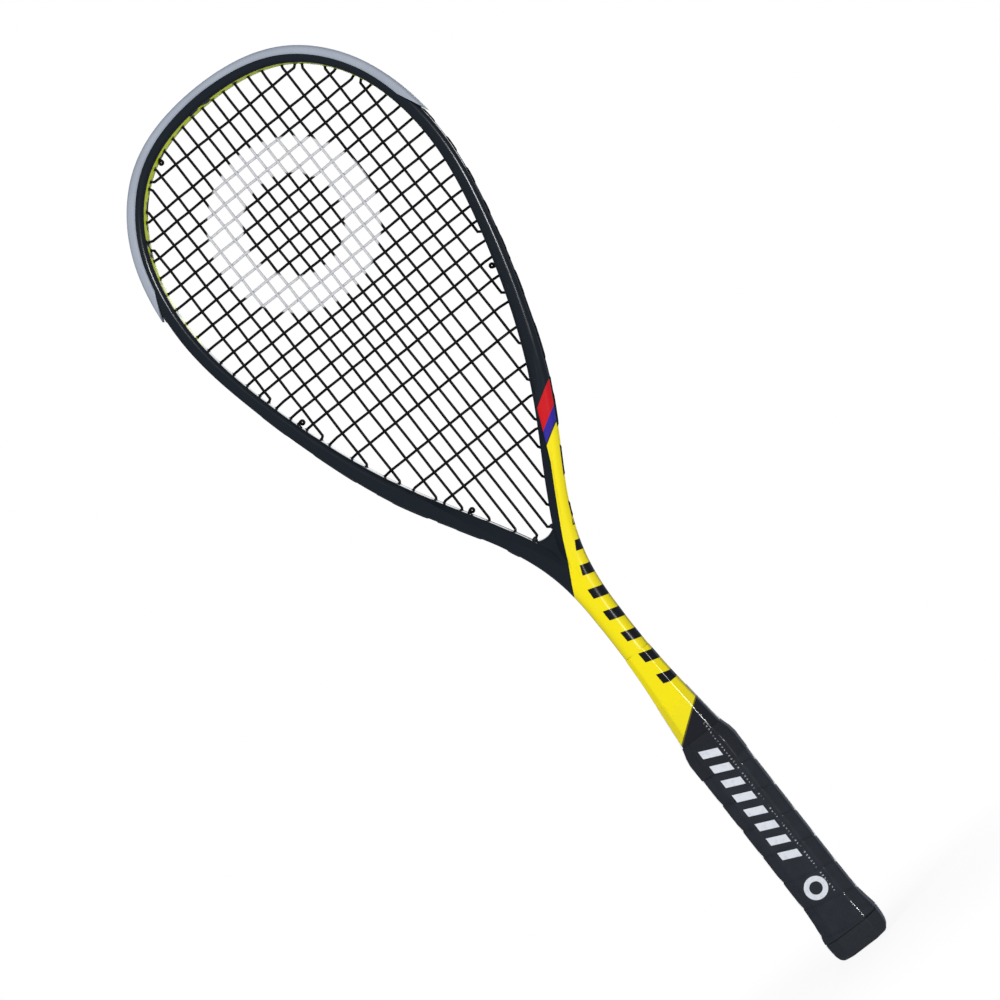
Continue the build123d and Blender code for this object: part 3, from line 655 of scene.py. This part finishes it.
dress(nodes["bumper_guard"], bumper_finish())
grommets = grommet_finish()
for name in ("grommet_strip_left", "grommet_strip_right", "throat_grommets_left", "throat_grommets_right"):
    dress(nodes[name], grommets)
strings = string_finish()
for name in ("main_string", "cross_string"):
    dress(nodes[name], strings)
    fuller = nodes[name].modifiers.new("fuller", "DISPLACE")
    fuller.mid_level = 0.0
    fuller.strength = STRING_FULLNESS * MM
dress(nodes["handle_mould"], lacquer("cone_lacquer", False))
dress(nodes["shaft_plug"], foam_finish("plug_foam", rgb(196, 184, 150), rgb(222, 212, 184)))
dress(nodes["butt_cap"], rubber_finish())
dress(nodes["butt_cap_staples"], steel_finish())
dress(nodes["finishing_tape"], tape_finish())


# ---------------------------------------------------------------- floor, light and camera
FLOOR_HALF = 30.0  # metres


def floor():
    """Pale floor that shows a faint shadow under the racket and fades to white around it."""
    half = FLOOR_HALF
    mesh = bpy.data.meshes.new("floor")
    mesh.from_pydata([(-half, -half, 0), (half, -half, 0), (half, half, 0), (-half, half, 0)], [], [(0, 1, 2, 3)])
    plane = bpy.data.objects.new("floor", mesh)
    plane.location = (0, 0, -0.0005)
    plane.visible_glossy = False
    bpy.context.scene.collection.objects.link(plane)
    g = Graph("floor_pale")
    g.finish(g.mix(g.noise(0.01), (0.86, 0.86, 0.86, 1), (0.9, 0.9, 0.9, 1)), 0.7)
    glow = g.node("ShaderNodeEmission", (1, 1, 1, 1), 1.0)
    fade = g.node("ShaderNodeMapRange", g.length(g.x, g.y), 30.0, 220.0, 0.9, 1.0).outputs[0]
    blend = g.node("ShaderNodeMixShader", fade, g.shader.outputs[0], glow.outputs[0])
    g.tree.links.new(blend.outputs[0], g.tree.nodes["Material Output"].inputs["Surface"])
    mesh.materials.append(g.material)


def area_light(name, place, aim, size, power, mirrored=True):
    """Square lamp. Without mirrored it lights the racket but isn't seen in its gloss."""
    data = bpy.data.lights.new(name, "AREA")
    data.size = size
    data.energy = power
    lamp = bpy.data.objects.new(name, data)
    lamp.visible_glossy = mirrored
    lamp.location = place
    lamp.rotation_mode = "QUATERNION"
    lamp.rotation_quaternion = (Vector(aim) - Vector(place)).to_track_quat("-Z", "Y")
    bpy.context.scene.collection.objects.link(lamp)


def studio():
    """White behind the racket, dim blue-grey light all round, and three lamps."""
    world = bpy.data.worlds.new("studio")
    world.use_nodes = True
    bpy.context.scene.world = world
    tree = world.node_tree
    seen = tree.nodes["Background"]
    seen.inputs["Color"].default_value = (1, 1, 1, 1)
    lit = tree.nodes.new("ShaderNodeBackground")
    lit.inputs["Color"].default_value = (0.10, 0.115, 0.14, 1)
    path = tree.nodes.new("ShaderNodeLightPath")
    blend = tree.nodes.new("ShaderNodeMixShader")
    tree.links.new(path.outputs["Is Camera Ray"], blend.inputs[0])
    tree.links.new(lit.outputs[0], blend.inputs[1])
    tree.links.new(seen.outputs[0], blend.inputs[2])
    tree.links.new(blend.outputs[0], tree.nodes["World Output"].inputs["Surface"])
    area_light("key", (-1.2, -1.9, 1.7), (0, 0, 0.4), 1.0, 42, mirrored=False)
    area_light("fill", (1.5, -1.9, 0.5), (0, 0, 0.3), 0.4, 26)
    area_light("back", (0.3, 2.0, 1.4), (0, 0, 0.4), 1.4, 14)
    bpy.context.scene.view_settings.view_transform = "Standard"


CAMERA_YAW = 6.5  # towards the racket's right, in degrees
CAMERA_PITCH = -2.5  # below its middle
CAMERA_DISTANCE = 2.0
CAMERA_AIM = (-0.009, 0.0, 0.361)
CAMERA_WIDTH = 0.633  # width of the view at the racket
CAMERA_ROLL = 38.35  # the racket leans this much anticlockwise in view


def camera():
    data = bpy.data.cameras.new("camera")
    cam = bpy.data.objects.new("camera", data)
    bpy.context.scene.collection.objects.link(cam)
    yaw, pitch, roll = radians(CAMERA_YAW), radians(CAMERA_PITCH), radians(CAMERA_ROLL)
    back = Vector((sin(yaw) * cos(pitch), -cos(yaw) * cos(pitch), sin(pitch)))
    up = Vector((sin(roll), 0, cos(roll)))
    up = (up - back * up.dot(back)).normalized()
    side = up.cross(back)
    cam.matrix_world = Matrix((side, up, back)).transposed().to_4x4()
    cam.location = Vector(CAMERA_AIM) + back * CAMERA_DISTANCE
    data.sensor_width = 36
    data.lens = 36 / (CAMERA_WIDTH / CAMERA_DISTANCE)
    bpy.context.scene.camera = cam


floor()
studio()
camera()
